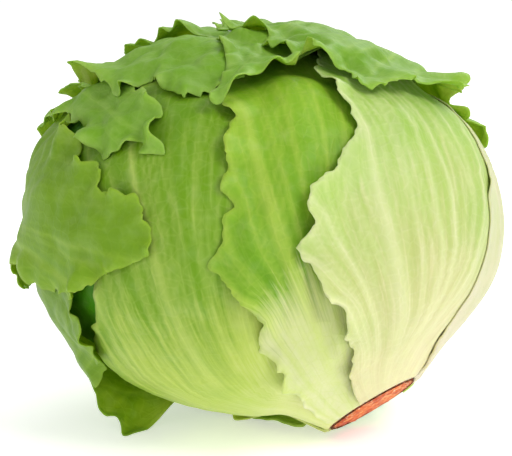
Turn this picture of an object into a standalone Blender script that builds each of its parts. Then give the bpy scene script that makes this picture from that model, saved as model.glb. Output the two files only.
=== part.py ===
"""Iceberg lettuce, lying on its side with the cut stem at the lower right.

The head is a dense heart round a core, wrapped in eleven leaves. Every leaf is laid on the ones below it:
each point of the head is a direction from its middle and a height over one smooth reference shape, so a leaf
is stacked by adding its gap and its thickness to what already lies there.
Directions are given as two angles: how far from the stem, and how far round it from the front.
"""

import math

import bpy
import numpy as np
from mathutils import Matrix, Vector
from mathutils.bvhtree import BVHTree
from mathutils.geometry import delaunay_2d_cdt
from mathutils.kdtree import KDTree

MM = 0.001

# The head, in metres. It is a little flat, fuller towards the stem, and rests on a flat spot.
HALF_SIZE = np.array((0.0846, 0.0755, 0.0686))
MIDDLE = np.array((-0.0004, -0.0012, 0.0715))
STEM_SWELL = 0.090
STEM_SWELL_WIDTH = 22.0
FLOOR_BLEND = 0.0010
FLOOR_ROOM = 0.0030
FAR_ROUND = 0.05

# The stem's axis: degrees from straight down, and degrees round from +X. The front looks up a little.
STEM_TILT = 38.9
STEM_HEADING = -37.2
FRONT_RISE = 12.0

STEM_RADIUS = 0.0168
STEM_REACH = 0.0768
STEM_SHOULDER = 0.0440
CORE_END = 0.0240
CORE_RADIUS = 0.0085
STEM_RIM = 0.0010

# Leaf blades, in metres and degrees from the stem. The outer leaves start farther out, on the inner ones.
BASE = 12.5
OUTER_BASE = 22.0
BLADE = 0.0010
BASE_THICKNESS = 0.0010
BASE_FADE = 22.0
RIB = 0.0010
RIB_WIDTH = 3.5
RIB_FADE = 35.0
LEAF_GAP = 0.0009
STEM_LAYERS = 7.0
STEM_GAP = 0.0004

# The directions that the leaves are stacked on: how many, and how far round a point its neighbours count.
DIRECTIONS = 9000
SPREAD = 7.0
REACH = 4.0
SPACING = 3.2
ABSENT = -1.0
OUTSIDE = 0.2

# Settling: the heart is drawn in, round after round, until the outermost leaves lie on the reference shape.
SETTLING_ROUNDS = 6
SETTLING = 0.7
DEEPEST = 3.0
LEAST_EXCESS = -0.004
MOST_EXCESS = 0.010

# Pressing: how deep a plane's pressure is felt, and how near the floor a leaf is let down to it.
PRESS_DEPTH = 0.020
FLAT = 0.0064
CUT_ROOM = 0.0008

# The net of each blade: how far apart its points lie, in degrees, and how much closer at the stem, at the edge
# and along the base; points keep a share of that clear of the edge. Waves fade where a leaf is narrow (a neck).
NET = 6.3
NET_AT_STEM = 0.45
NET_GROWTH = 60.0
EDGE_FINER = 0.62
BASE_FINER = 0.55
CLEAR_SHARE = 0.5
SIDE_SHARE = 0.09
NECK = 7.0
FINE = 600
RAISING_ROUNDS = 40
SAMPLES = 5
EDGE_WIDTH = 11.0
MARGIN_WAVES = 9
LOBES = (9, 14, 21, 30)


def leaf(name, colour, outline, lift=1.2, ragged=1.2, seed=1, curls=()):
    """One leaf: its margin as (from the stem, round it) in degrees, from one corner of its base to the other.

    lift and ragged are in millimetres; a curl is (from the stem, round it, width in degrees, height in mm).
    """
    return {
        "name": name,
        "colour": colour,
        "outline": outline,
        "lift": lift * MM,
        "ragged": ragged * MM,
        "seed": seed,
        "curls": curls,
    }


# From the innermost leaf to the outermost.
LEAVES = (
    leaf(
        "leaf_front_left",
        (0.50, 0.66, 0.20),
        [
            (BASE, 104), (25, 106), (45, 106), (62, 100), (77, 90), (82, 62), (85, 49), (93, 47), (107, 50),
            (124, 40), (132, 10), (125, -18), (105, -28), (80, -15), (60, -2), (40, 8), (25, 14), (BASE, 26),
        ],
        lift=0.8,
        ragged=0.8,
        seed=11,
    ),
    leaf(
        "leaf_front_middle",
        (0.36, 0.60, 0.08),
        [
            (BASE, 58), (25, 40), (37, 27), (47, 23), (63, 16), (71, 15), (81, 10), (91, 3), (109, -7),
            (128, -12), (140, -32), (130, -58), (105, -55), (80, -45), (55, -38), (30, -34), (BASE, -36),
        ],
        lift=1.4,
        ragged=1.6,
        seed=12,
    ),
    leaf(
        "leaf_front_right",
        (0.66, 0.76, 0.42),
        [
            (BASE, 14), (24, 4), (36, -3), (55, -6), (66, -4), (74, -9), (78, -15), (82, -25), (92, -33),
            (108, -38), (122, -60), (118, -90), (95, -104), (70, -100), (48, -92), (28, -82), (BASE, -66),
        ],
        lift=1.2,
        ragged=0.9,
        seed=13,
    ),
    leaf(
        "leaf_right",
        (0.74, 0.80, 0.56),
        [
            (BASE, -74), (20, -70), (34, -66), (49, -70), (62, -73), (74, -78), (95, -80), (115, -92),
            (124, -120), (116, -148), (92, -162), (60, -166), (35, -166), (BASE, -162),
        ],
        lift=0.6,
        ragged=0.5,
        seed=14,
    ),
    leaf(
        "leaf_left_low",
        (0.24, 0.42, 0.04),
        [
            (BASE, 140), (28, 152), (50, 164), (80, 160), (105, 140), (122, 110), (116, 78), (103, 60),
            (93, 58), (88, 61), (82, 63), (77, 68), (75, 76), (74, 88), (64, 93), (50, 97),
            (35, 98), (22, 92),
            (BASE, 84),
        ],
        lift=1.0,
        ragged=1.6,
        seed=15,
        curls=((72, 89, 9, 6.5), (63, 92, 8, 9.0)),
    ),
    leaf(
        "leaf_back",
        (0.52, 0.68, 0.26),
        [
            (BASE, 200), (28, 212), (50, 226), (80, 232), (108, 218), (125, 190), (118, 165), (95, 152),
            (65, 152), (38, 148), (BASE, 144),
        ],
        lift=1.2,
        ragged=1.4,
        seed=16,
    ),
    leaf(
        "leaf_left",
        (0.26, 0.44, 0.05),
        [
            (OUTER_BASE, 140), (30, 142), (60, 158), (90, 168), (118, 152), (146, 112), (148, 70), (134, 44),
            (122, 35), (112, 31), (103, 28), (94, 24), (88, 29), (85, 39), (89, 50), (93, 58), (99, 66),
            (105, 72), (106, 92), (93, 118), (68, 124), (42, 120), (OUTER_BASE, 116),
        ],
        lift=1.2,
        ragged=2.0,
        seed=17,
    ),
    leaf(
        "leaf_upper_left",
        (0.34, 0.54, 0.14),
        [
            (OUTER_BASE, 160), (30, 162), (62, 180), (100, 200), (135, 206), (162, 180),
            (166, 60), (150, 28),
            (136, 20), (120, 10), (108, 12), (106, 19), (111, 25), (117, 30), (129, 35),
            (139, 52), (140, 100),
            (122, 140), (95, 150), (60, 148), (30, 140), (OUTER_BASE, 140),
        ],
        lift=1.5,
        ragged=1.6,
        seed=18,
    ),
    leaf(
        "leaf_top_left",
        (0.32, 0.52, 0.14),
        [
            (OUTER_BASE, 182), (30, 184), (62, 204), (100, 240), (130, 256), (138, 300),
            (126, 328), (121, 337),
            (120, 351), (115, 362), (124, 366), (137, 381), (148, 398), (154, 440), (150, 490), (132, 530),
            (100, 542), (65, 530), (35, 520), (OUTER_BASE, 520),
        ],
        lift=1.8,
        ragged=2.4,
        seed=19,
    ),
    leaf(
        "leaf_top_middle",
        (0.34, 0.54, 0.15),
        [
            (OUTER_BASE, -158), (30, -158), (60, -146), (92, -110), (112, -68), (119, -40),
            (114, -34), (109, -29),
            (111, -20), (109, -11), (110, -4), (121, -14), (135, -22), (150, -28), (166, -10), (171, 90),
            (152, 178), (120, 190), (80, 188), (45, 182), (OUTER_BASE, 182),
        ],
        lift=2.0,
        ragged=2.6,
        seed=20,
    ),
    leaf(
        "leaf_top_right",
        (0.33, 0.53, 0.14),
        [
            (OUTER_BASE, -138), (30, -138), (52, -132), (68, -122), (80, -108), (88, -92),
            (90, -74), (92, -58),
            (93, -48), (98, -41), (109, -39), (119, -37), (135, -38), (150, -44), (162, -80), (156, -128),
            (135, -150), (100, -160), (60, -162), (35, -158), (OUTER_BASE, -158),
        ],
        lift=1.8,
        ragged=2.4,
        seed=21,
    ),
)


def unit(vectors):
    return vectors / np.linalg.norm(vectors, axis=-1, keepdims=True)


def stem_frame():
    """The stem's axis, out of the head, and the two directions square to it: the front, and the side."""
    tilt, heading, rise = (math.radians(angle) for angle in (STEM_TILT, STEM_HEADING, FRONT_RISE))
    axis = np.array(
        (math.sin(tilt) * math.cos(heading), math.sin(tilt) * math.sin(heading), -math.cos(tilt))
    )
    front = np.array((0.0, -math.cos(rise), math.sin(rise)))
    front = unit(front - axis * (front @ axis))
    return axis, front, np.cross(axis, front)


AXIS, FRONT, SIDE = stem_frame()


def direction(from_stem, around):
    """Unit vectors from two angles in degrees."""
    from_stem, around = np.radians(from_stem)[..., None], np.radians(around)[..., None]
    return np.cos(from_stem) * AXIS + np.sin(from_stem) * (np.cos(around) * FRONT + np.sin(around) * SIDE)


def degrees_from_stem(directions):
    return np.degrees(np.arccos(np.clip(directions @ AXIS, -1, 1)))


def floor_distance(directions, level=0.0):
    """How far a level plane lies along each direction; directions that never meet it get a long way."""
    return (MIDDLE[2] - level) / np.maximum(-directions[..., 2], FAR_ROUND)


def reference(directions):
    """The head's smooth outer shape: how far it lies from the middle along each direction."""
    round_shape = 1 / np.linalg.norm(directions / HALF_SIZE, axis=-1)
    swell = 1 + STEM_SWELL * np.exp(-((degrees_from_stem(directions) / STEM_SWELL_WIDTH) ** 2) / 2)
    round_shape = round_shape * swell
    floor = floor_distance(directions, FLOOR_ROOM)
    nearer = np.minimum(round_shape, floor)
    return nearer - FLOOR_BLEND * np.log1p(np.exp(-np.abs(round_shape - floor) / FLOOR_BLEND))


def even_directions(count):
    """Directions spread evenly over the sphere, along a golden spiral."""
    step = np.arange(count) + 0.5
    height = 1 - 2 * step / count
    turn = step * math.pi * (1 + math.sqrt(5))
    level = np.sqrt(1 - height**2)
    return np.column_stack((level * np.cos(turn), level * np.sin(turn), height))


class Sky:
    """Heights over the reference shape, kept at even directions."""

    def __init__(self, count, reach):
        self.directions = even_directions(count)
        self.reference = reference(self.directions)
        self.tree = KDTree(count)
        for number, place in enumerate(self.directions):
            self.tree.insert(place, number)
        self.tree.balance()
        chord = 2 * math.sin(math.radians(reach) / 2)
        around = [self.tree.find_range(place, chord) for place in self.directions]
        widest = max(len(found) for found in around)
        rows = [[f[1] for f in found] + [i] * (widest - len(found)) for i, found in enumerate(around)]
        self.near = np.array(rows)
        far = math.radians(180)
        rows = [[f[2] for f in found] + [far] * (widest - len(found)) for found in around]
        self.apart = np.degrees(np.array(rows))

    def widest(self, heights, reach):
        """The greatest height within reach degrees."""
        return np.where(self.apart < reach, heights[self.near], ABSENT).max(axis=1)

    def softened(self, heights, reach):
        """Heights averaged with a bell that ends at reach degrees."""
        bell = np.where(self.apart < reach, np.exp(-3 * (self.apart / reach) ** 2), 0.0)
        return (heights[self.near] * bell).sum(axis=1) / bell.sum(axis=1)

    def nearest(self, directions):
        """The number of the kept direction nearest to each given one."""
        found = [self.tree.find(place)[1] for place in directions.reshape(-1, 3)]
        return np.array(found).reshape(directions.shape[:-1])

    def at(self, heights, directions):
        """Heights between the kept directions, from the four nearest of them."""
        found = [self.tree.find_n(place, 4) for place in directions.reshape(-1, 3)]
        number = np.array([[f[1] for f in four] for four in found])
        weight = 1 / (np.array([[f[2] for f in four] for four in found]) + 1e-4) ** 2
        mixed = (heights[number] * weight).sum(axis=1) / weight.sum(axis=1)
        return mixed.reshape(directions.shape[:-1])

    def reached_by(self, points, faces):
        """How high a mesh stands over the reference shape along each direction, or ABSENT where it isn't."""
        tree = BVHTree.FromPolygons([Vector(point) for point in points], faces.tolist())
        from_middle = points - MIDDLE
        far = np.linalg.norm(from_middle, axis=1)
        number = self.nearest(from_middle / far[:, None])
        heights = np.full(len(self.directions), ABSENT)
        np.maximum.at(heights, number, far - reference(from_middle / far[:, None]))
        for number, place in enumerate(self.directions):
            hit = tree.ray_cast(Vector(MIDDLE + OUTSIDE * place), Vector(-place))
            if hit[0] is not None and hit[3] < OUTSIDE:
                heights[number] = max(heights[number], OUTSIDE - hit[3] - self.reference[number])
        return heights


class Chart:
    """A flat map of the head round a leaf's middle: true distances from there, in degrees."""

    def __init__(self, directions):
        self.middle = unit(directions.mean(axis=0))
        self.right = unit(np.cross(self.middle, AXIS))
        self.up = np.cross(self.right, self.middle)

    def flat(self, directions):
        away = np.degrees(np.arccos(np.clip(directions @ self.middle, -1, 1)))
        plane = np.stack((directions @ self.right, directions @ self.up), axis=-1)
        return plane / np.maximum(np.linalg.norm(plane, axis=-1, keepdims=True), 1e-9) * away[..., None]

    def lifted(self, points):
        away = np.radians(np.linalg.norm(points, axis=-1, keepdims=True))
        plane = unit(np.where(away > 0, points, 1.0))
        outward = plane[..., :1] * self.right + plane[..., 1:] * self.up
        return np.cos(away) * self.middle + np.sin(away) * outward


def smooth_curve(points, count):
    """Points at even steps on a smooth curve through the given ones."""
    ends = np.vstack((2 * points[0] - points[1], points, 2 * points[-1] - points[-2]))
    curve = []
    for before, start, end, after in zip(ends[:-3], ends[1:-2], ends[2:-1], ends[3:]):
        t = np.linspace(0, 1, 24, endpoint=False)[:, None]
        curve.append(
            0.5 * (2 * start + (end - before) * t + (2 * before - 5 * start + 4 * end - after) * t**2
                   + (3 * start - before - 3 * end + after) * t**3)
        )
    return even_steps(np.vstack(curve + [points[-1:]]), np.linspace(0, 1, count))


def even_steps(curve, shares):
    """Points of a curve at the given shares of its length."""
    length = np.concatenate(([0], np.cumsum(np.linalg.norm(np.diff(curve, axis=0), axis=1))))
    return np.column_stack([np.interp(shares * length[-1], length, column) for column in curve.T])


def ragged_margin(curve, leaf_data):
    """The margin pushed in and out in small lobes that die away at the base and where the leaf is narrow."""
    draw = np.random.default_rng(leaf_data["seed"])
    share = np.linspace(0, 1, len(curve))
    wave = np.zeros(len(curve))
    for lobes in LOBES:
        turn = 2 * math.pi * (lobes * share + draw.random())
        wave += np.sin(turn) / math.sqrt(lobes) * draw.uniform(0.7, 1.3)
    along = np.gradient(curve, axis=0)
    outward = unit(np.column_stack((along[:, 1], -along[:, 0])))
    if np.sum(outward * (curve - curve.mean(axis=0))) < 0:
        outward = -outward
    length = np.linalg.norm(np.diff(curve, axis=0), axis=1).sum()
    apart = np.linalg.norm(curve[:, None] - curve[None], axis=-1)
    neighbours = np.abs(share[:, None] - share[None]) * length < 3 * NECK
    width = np.where(neighbours, np.inf, apart).min(axis=1)
    calm = np.clip(np.minimum(share, 1 - share) / SIDE_SHARE, 0, 1) * np.clip((width - NECK) / NECK, 0, 1)
    degrees_per_metre = math.degrees(1) / HALF_SIZE[1]
    return curve + outward * (wave * 3 * leaf_data["ragged"] * degrees_per_metre * calm)[:, None]


def spacing(from_stem):
    """How far apart the net's points lie, in degrees: closer together towards the stem."""
    return NET * np.minimum(1.0, NET_AT_STEM + (from_stem - BASE) / NET_GROWTH)


def ring_points():
    """Directions in rings round the stem, as angles from it and round it."""
    rings = []
    from_stem = BASE
    while from_stem < 176:
        gap = spacing(from_stem)
        from_stem += 0.87 * gap
        count = max(round(360 * math.sin(math.radians(from_stem)) / gap), 4)
        turns = 360 / count * (np.arange(count) + 0.5 * (len(rings) % 2))
        rings.append(np.column_stack((np.full(count, from_stem), turns)))
    return np.vstack(rings)


class Blade:
    """A leaf's net on the sphere, before it is stacked: triangles of directions, its edge first."""

    def __init__(self, leaf_data, sky):
        self.leaf = leaf_data
        given = np.array(leaf_data["outline"], float)
        corners = direction(given[:, 0], given[:, 1])
        self.chart = Chart(corners)
        curve = ragged_margin(smooth_curve(self.chart.flat(corners), FINE), leaf_data)
        self.outline = curve
        turns = given[0, 1] + ((given[-1, 1] - given[0, 1] + 180) % 360 - 180) * np.linspace(1, 0, FINE // 10)
        base = self.chart.flat(direction(np.full(len(turns), given[0, 0]), turns))
        self.middle_turn = turns.mean()
        margin = graded_steps(curve, degrees_from_stem(self.chart.lifted(curve)), EDGE_FINER)
        bottom = graded_steps(base, np.full(len(base), given[0, 0]), BASE_FINER)
        loop = np.vstack((margin, bottom[1:-1]))
        rings = ring_points()
        inner = self.chart.flat(direction(rings[:, 0], rings[:, 1]))
        rim = np.vstack((curve, base))
        clear = np.array([np.linalg.norm(rim - point, axis=1).min() for point in inner])
        kept = inside(np.vstack((curve, base)), inner) & (clear > CLEAR_SHARE * spacing(rings[:, 0]))
        flat = np.vstack((loop, inner[kept]))
        self.triangles = triangles_within(flat, len(loop))
        self.edge = list(range(len(loop)))
        x, y = loop.T
        if np.sum(x * np.roll(y, -1) - y * np.roll(x, -1)) < 0:
            self.edge.reverse()
        self.directions = self.chart.lifted(flat)
        apart = np.array([np.linalg.norm(curve - point, axis=1) for point in flat])
        self.from_edge = apart.min(axis=1)
        self.edge_share = apart.argmin(axis=1) / len(curve)
        self.shares = np.array(
            [(i, j, SAMPLES - i - j) for i in range(SAMPLES + 1) for j in range(SAMPLES + 1 - i)]
        ) / SAMPLES
        self.sample_directions = unit(np.einsum("sc,tcx->tsx", self.shares, self.directions[self.triangles]))
        self.sample_numbers = sky.nearest(self.sample_directions)
        self.sample_reference = reference(self.sample_directions)

    def thickness(self):
        """Thin at the margin, thicker towards the stem, with a rib along the middle."""
        from_stem = degrees_from_stem(self.directions)
        middle = math.radians(self.middle_turn)
        across = np.degrees(np.arcsin(self.directions @ (SIDE * math.cos(middle) - FRONT * math.sin(middle))))
        same_side = self.directions @ (FRONT * math.cos(middle) + SIDE * math.sin(middle)) > 0
        rib = RIB * np.exp(-((across / RIB_WIDTH) ** 2) - (from_stem - BASE) / RIB_FADE) * same_side
        return BLADE + BASE_THICKNESS * np.exp(-(from_stem - BASE) / BASE_FADE) + rib

    def lift(self, free):
        """How far the margin stands off the head, in soft waves, where no other leaf lies on it."""
        draw = np.random.default_rng(self.leaf["seed"] + 100)
        wave = 0.55 + 0.45 * np.sin(2 * math.pi * (self.edge_share * MARGIN_WAVES + draw.random()))
        edge = np.clip(1 - self.from_edge / EDGE_WIDTH, 0, 1)
        height = self.leaf["lift"] * wave
        for from_stem, around, width, rise in self.leaf["curls"]:
            place = direction(np.array(float(from_stem)), np.array(float(around)))
            apart = np.degrees(np.arccos(np.clip(self.directions @ place, -1, 1)))
            height = height + rise * MM * np.exp(-((apart / width) ** 2))
        return height * edge**1.5 * free

    def raised(self, far, pile):
        """Distances of the blade's points, raised until no triangle between them dips into the pile."""
        needed = self.sample_reference + pile[self.sample_numbers] + LEAF_GAP
        far = far.copy()
        for _ in range(RAISING_ROUNDS):
            points = self.directions * far[:, None]
            samples = np.einsum("sc,tcx->tsx", self.shares, points[self.triangles])
            short = needed - np.linalg.norm(samples, axis=-1)
            if short.max() <= 0:
                break
            push = np.zeros(len(far))
            wanted = (np.maximum(short, 0)[:, :, None] * (self.shares > 0.15)).max(axis=1)
            np.maximum.at(push, self.triangles, wanted)
            far += push
        return far


def graded_steps(curve, from_stem, finer):
    """Points of a curve, as far apart as the net's points there, or finer by a share."""
    length = np.linalg.norm(np.diff(curve, axis=0), axis=1)
    steps = length / (spacing((from_stem[1:] + from_stem[:-1]) / 2) * finer)
    along = np.concatenate(([0], np.cumsum(steps)))
    places = np.linspace(0, along[-1], max(round(along[-1]), 3) + 1)
    return np.column_stack([np.interp(places, along, column) for column in curve.T])


def triangles_within(points, rim_count):
    """Triangles between flat points, inside the closed line that the first of them make."""
    made = delaunay_2d_cdt([Vector(point) for point in points], [], [list(range(rim_count))], 1, 1e-7)
    if len(made[0]) != len(points):
        raise ValueError("the leaf's outline crosses itself")
    return np.array([[made[3][corner][0] for corner in face] for face in made[2]])


def clear_of_stem(points):
    """Points of a leaf's base moved out so that they stay round the stem."""
    from_middle = points - MIDDLE
    height = from_middle @ AXIS
    sideways = from_middle - height[:, None] * AXIS
    distance = np.linalg.norm(sideways, axis=1)
    wanted = np.where(height > 0, np.maximum(distance, STEM_RADIUS + STEM_GAP), distance)
    return points + sideways * ((wanted - distance) / distance)[:, None]


def cut_distance(directions):
    """How far the leaf bases may reach along each direction: they were cut level with the stem."""
    return (STEM_REACH - CUT_ROOM) / np.maximum(directions @ AXIS, FAR_ROUND)


def pressed(far, plane, most):
    """Distances drawn in near a plane, the same way for every layer, so that the farthest just lies on it."""
    near = np.maximum(far - plane + PRESS_DEPTH, 0)
    return far - near * most / (PRESS_DEPTH + most)


def rested(directions, sides, covered):
    """The two sides with what nearly reaches the floor let down to it, where no leaf lies between."""
    under, over = sides
    short = floor_distance(directions) - over
    lowered = np.where((short < FLAT) & ~covered, short, 0)
    return under + lowered, over + lowered


def laid(blade, sky, pile, free):
    """How far the blade's two sides lie from the middle, inner side first, when it rests on the pile."""
    resting = sky.softened(sky.widest(pile, REACH), REACH)
    under = reference(blade.directions) + sky.at(resting, blade.directions) + LEAF_GAP
    under = blade.raised(under, sky.widest(pile, SPACING)) + blade.lift(sky.at(free, blade.directions))
    return under, under + blade.thickness()


def closed_leaf(blade, sides):
    """Points and triangles of the closed leaf, facing out."""
    sides = [clear_of_stem(MIDDLE + blade.directions * far[:, None]) for far in sides]
    triangles, loop = blade.triangles, blade.edge
    count = len(blade.directions)
    walls = []
    for a, b in zip(loop, loop[1:] + loop[:1]):
        walls += [(a, b, b + count), (a, b + count, a + count)]
    points = np.vstack(sides)
    faces = np.vstack((triangles[:, ::-1], triangles + count, walls))
    corners = points[faces]
    if np.einsum("ij,ij->i", corners[:, 0], np.cross(corners[:, 1], corners[:, 2])).sum() < 0:
        faces = faces[:, ::-1]
    return points, faces


def inside(outline, points):
    """Which points lie inside a closed flat outline."""
    found = np.zeros(len(points), bool)
    x, y = points[:, 0], points[:, 1]
    for (x1, y1), (x2, y2) in zip(outline, np.roll(outline, -1, axis=0)):
        if y1 == y2:
            continue
        crosses = (y1 > y) != (y2 > y)
        found ^= crosses & (x < (x2 - x1) * (y - y1) / (y2 - y1) + x1)
    return found


def stacked_leaves(sky):
    """Every leaf's points and triangles, the heart's heights, and what pressed them: planes and amounts."""
    blades = [Blade(leaf_data, sky) for leaf_data in LEAVES]
    from_stem = degrees_from_stem(sky.directions)
    near_stem = np.exp(-(from_stem - BASE) / BASE_FADE)
    layer = LEAF_GAP + BLADE + BASE_THICKNESS * near_stem
    covers = np.array([inside(blade.outline[::6], blade.chart.flat(sky.directions)) for blade in blades])
    count = covers.sum(axis=0)
    later = np.cumsum(covers[::-1], axis=0)[::-1] - covers
    on_floor = floor_distance(sky.directions, FLOOR_ROOM) < sky.reference + 2 * FLOOR_BLEND
    free = [sky.softened(((above == 0) & ~on_floor).astype(float), REACH) for above in later]
    in_stem = from_stem < BASE
    outside_stem = 1.0 - in_stem
    heart = sky.softened(-layer * np.where(in_stem, STEM_LAYERS, count) - LEAF_GAP, SPREAD)
    deepest = -DEEPEST * sky.softened(sky.widest(layer * count, REACH), SPREAD) - LEAF_GAP
    for settling in range(SETTLING_ROUNDS):
        pile = heart.copy()
        leaves = []
        for blade, bare in zip(blades, free):
            sides = laid(blade, sky, pile, bare)
            leaves.append((blade, sides))
            pile = np.maximum(pile, sky.reached_by(*closed_leaf(blade, sides)))
        if settling < SETTLING_ROUNDS - 1:
            excess = np.where(in_stem, 0, np.clip(pile, LEAST_EXCESS, MOST_EXCESS))
            excess = sky.softened(excess, SPREAD) / np.maximum(sky.softened(outside_stem, SPREAD), 0.1)
            lowered = np.where(in_stem, 0, heart - SETTLING * excess)
            lowered = sky.softened(lowered, SPREAD) / np.maximum(sky.softened(outside_stem, SPREAD), 0.1)
            heart = np.where(in_stem, heart, np.maximum(lowered, deepest))
    presses = []
    for plane in (cut_distance, floor_distance):
        most = max(np.max(sides[1] - plane(blade.directions)) for blade, sides in leaves)
        presses.append((plane, most))
        leaves = [
            (blade, [pressed(far, plane(blade.directions), most) for far in sides]) for blade, sides in leaves
        ]
    shaped = []
    for (blade, sides), above in zip(leaves, later):
        covered = sky.widest(above, REACH)[sky.nearest(blade.directions)] > 0
        points, faces = closed_leaf(blade, rested(blade.directions, sides, covered))
        shaped.append((blade.leaf, points, faces))
    return shaped, heart, presses


def new_material(name, colour, roughness):
    material = bpy.data.materials.new(name)
    material.use_nodes = True
    shader = material.node_tree.nodes["Principled BSDF"]
    shader.inputs["Base Color"].default_value = (*colour, 1.0)
    shader.inputs["Roughness"].default_value = roughness
    shader.inputs["Metallic"].default_value = 0.0
    material.diffuse_color = (*colour, 1.0)
    return material


def new_object(name, points, faces, collection):
    mesh = bpy.data.meshes.new(name)
    mesh.from_pydata([tuple(point) for point in points], [], [tuple(face) for face in faces.tolist()])
    made = bpy.data.objects.new(name, mesh)
    collection.objects.link(made)
    return made


def stem_profile(clearance):
    """The stem's outer line from the cut face to the core's end, as (radius, height along the axis)."""
    return [
        (0.0, STEM_REACH + clearance),
        (STEM_RADIUS - STEM_RIM, STEM_REACH + clearance),
        (STEM_RADIUS + clearance, STEM_REACH - STEM_RIM + clearance),
        (STEM_RADIUS + clearance, STEM_SHOULDER),
        (CORE_RADIUS + clearance, CORE_END + CORE_RADIUS),
        (CORE_RADIUS * 0.7 + clearance, CORE_END + 0.3 * CORE_RADIUS - clearance),
        (0.0, CORE_END - clearance),
    ]


def turned(name, profile, collection):
    """A solid turned about the stem's axis."""
    mesh = bpy.data.meshes.new(name)
    points = [(radius, 0.0, height) for radius, height in profile]
    mesh.from_pydata(points, [(i, i + 1) for i in range(len(points) - 1)], [])
    made = bpy.data.objects.new(name, mesh)
    collection.objects.link(made)
    screw = made.modifiers.new("Turn", "SCREW")
    screw.steps = screw.render_steps = 28
    screw.use_merge_vertices = True
    screw.merge_threshold = 0.00001
    made.matrix_world = Matrix.Translation(MIDDLE) @ Vector(AXIS).to_track_quat("Z", "Y").to_matrix().to_4x4()
    return made


def heart_object(sky, heart, presses, collection):
    """The dense ball of inner leaves, as an evenly divided sphere drawn in to the pile's foot."""
    bpy.ops.mesh.primitive_ico_sphere_add(subdivisions=4, radius=1.0)
    made = bpy.context.object
    made.name = made.data.name = "heart"
    for owner in made.users_collection:
        owner.objects.unlink(made)
    collection.objects.link(made)
    places = unit(np.array([vertex.co for vertex in made.data.vertices]))
    far = reference(places) + sky.at(heart, places)
    for plane, most in presses:
        far = pressed(far, plane(places), most)
    for vertex, place, distance in zip(made.data.vertices, places, far):
        vertex.co = MIDDLE + place * distance
    made.location = (0.0, 0.0, 0.0)
    return made


def main():
    for old in list(bpy.data.objects):
        bpy.data.objects.remove(old, do_unlink=True)
    parts = bpy.data.collections.new("Iceberg lettuce")
    cutters = bpy.data.collections.new("Cutters")
    for collection in (parts, cutters):
        bpy.context.scene.collection.children.link(collection)

    sky = Sky(DIRECTIONS, SPREAD)
    leaves, heart, presses = stacked_leaves(sky)
    for leaf_data, points, faces in leaves:
        made = new_object(leaf_data["name"], points, faces, parts)
        made.data.materials.append(new_material(leaf_data["name"], leaf_data["colour"], 0.45))

    stem = turned("stem", stem_profile(0.0), parts)
    stem.data.materials.append(new_material("stem", (0.72, 0.22, 0.06), 0.75))
    socket = turned("core_socket", stem_profile(STEM_GAP), cutters)
    socket.hide_render = True
    socket.display_type = "WIRE"

    ball = heart_object(sky, heart, presses, parts)
    ball.data.materials.append(new_material("heart", (0.62, 0.74, 0.34), 0.5))
    cut = ball.modifiers.new("Core socket", "BOOLEAN")
    cut.operation = "DIFFERENCE"
    cut.object = socket


main()
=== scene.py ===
"""Iceberg lettuce, lying on its side on a white surface, photographed from the front in soft light.

Every leaf of the part is laid again as a fine sheet over the part's own leaf: the same outline, the same
stacking, with veins, blisters, waved margins and frills. Directions are given as two angles, as on the part:
how far from the stem, and how far round it from the front.
"""

import math

import bmesh
import bpy
import numpy as np
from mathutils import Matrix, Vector, noise
from mathutils.bvhtree import BVHTree
from mathutils.geometry import delaunay_2d_cdt
from mathutils.kdtree import KDTree


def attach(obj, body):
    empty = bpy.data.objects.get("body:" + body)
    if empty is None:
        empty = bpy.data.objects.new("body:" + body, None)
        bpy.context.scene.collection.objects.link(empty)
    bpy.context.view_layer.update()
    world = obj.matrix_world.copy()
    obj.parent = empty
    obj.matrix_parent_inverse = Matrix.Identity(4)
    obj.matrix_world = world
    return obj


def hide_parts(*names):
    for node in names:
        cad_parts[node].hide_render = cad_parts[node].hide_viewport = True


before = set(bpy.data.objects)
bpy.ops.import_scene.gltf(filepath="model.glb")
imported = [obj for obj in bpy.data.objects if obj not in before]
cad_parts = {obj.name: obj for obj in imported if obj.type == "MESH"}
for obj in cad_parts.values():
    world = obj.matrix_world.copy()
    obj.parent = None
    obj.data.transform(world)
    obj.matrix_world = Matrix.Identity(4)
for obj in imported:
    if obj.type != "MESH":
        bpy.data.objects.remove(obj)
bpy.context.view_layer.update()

MM = 0.001

# The head as the part has it.
HALF_SIZE = np.array((0.0846, 0.0755, 0.0686))
MIDDLE = np.array((-0.0004, -0.0012, 0.0715))
STEM_TILT = 38.9
STEM_HEADING = -37.2
FRONT_RISE = 12.0
STEM_RADIUS = 0.0168
STEM_REACH = 0.0768
STEM_GAP = 0.0002
BASE = 12.5
OUTER_BASE = 22.0
SIDE_SHARE = 0.09
NECK = 7.0
LOBES = (9, 14, 21, 30)
FAR_ROUND = 0.05
OUTSIDE = 0.2
MM_PER_DEGREE = math.radians(1) * HALF_SIZE[1] / MM

# The fine nets: points this many degrees apart, closer towards the stem and along the edge.
NET = 1.0
GUIDE_NET = 3.2
NET_AT_STEM = 0.6
NET_GROWTH = 40.0
EDGE_FINER = 0.75
CLEAR_SHARE = 0.5
FINE = 3000


def leaf(name, outline, ragged, seed):
    """One leaf: its margin as (from the stem, round it) in degrees, from one corner of its base to the other.

    Ragged is how deep the margin's lobes are, in millimetres; the seed fixes where they fall.
    """
    return {"name": name, "outline": outline, "ragged": ragged, "seed": seed}


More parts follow.
